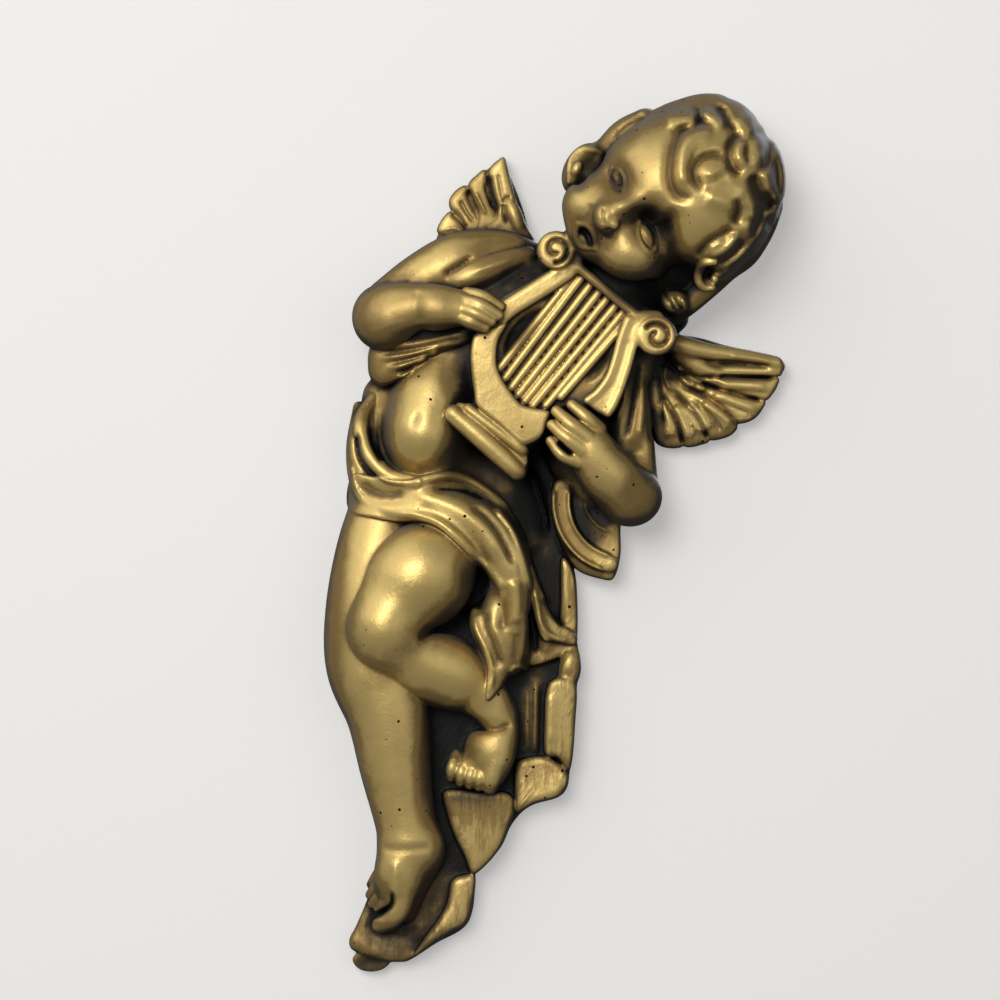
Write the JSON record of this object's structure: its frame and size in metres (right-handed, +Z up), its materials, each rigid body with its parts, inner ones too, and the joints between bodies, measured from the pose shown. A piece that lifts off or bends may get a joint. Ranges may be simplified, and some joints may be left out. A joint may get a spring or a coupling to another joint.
{
  "type": "cherub wall plaque",
  "caption": "Cast relief wall plaque: a winged cherub leaning back with a lyre, one leg crossed, cloth round the hips and rocks below, flat at the back, in antique brass paint.",
  "frame": {"origin": "the hanging point on the flat back, on the wall's plane, straight above the centre of mass", "axes": "+Z up along the hung figure from foot to head, -Y out of the wall towards the viewer, +X to the viewer's right"},
  "size_m": [0.1441, 0.0593, 0.3249],
  "materials": {
    "antique_brass_paint": "cast resin painted antique brass, satin, with a black-brown wash left in the recesses and worn bright on the raised forms"
  },
  "bodies": {
    "root": {"cherub_casting": "antique_brass_paint"}
  },
  "joints": []
}
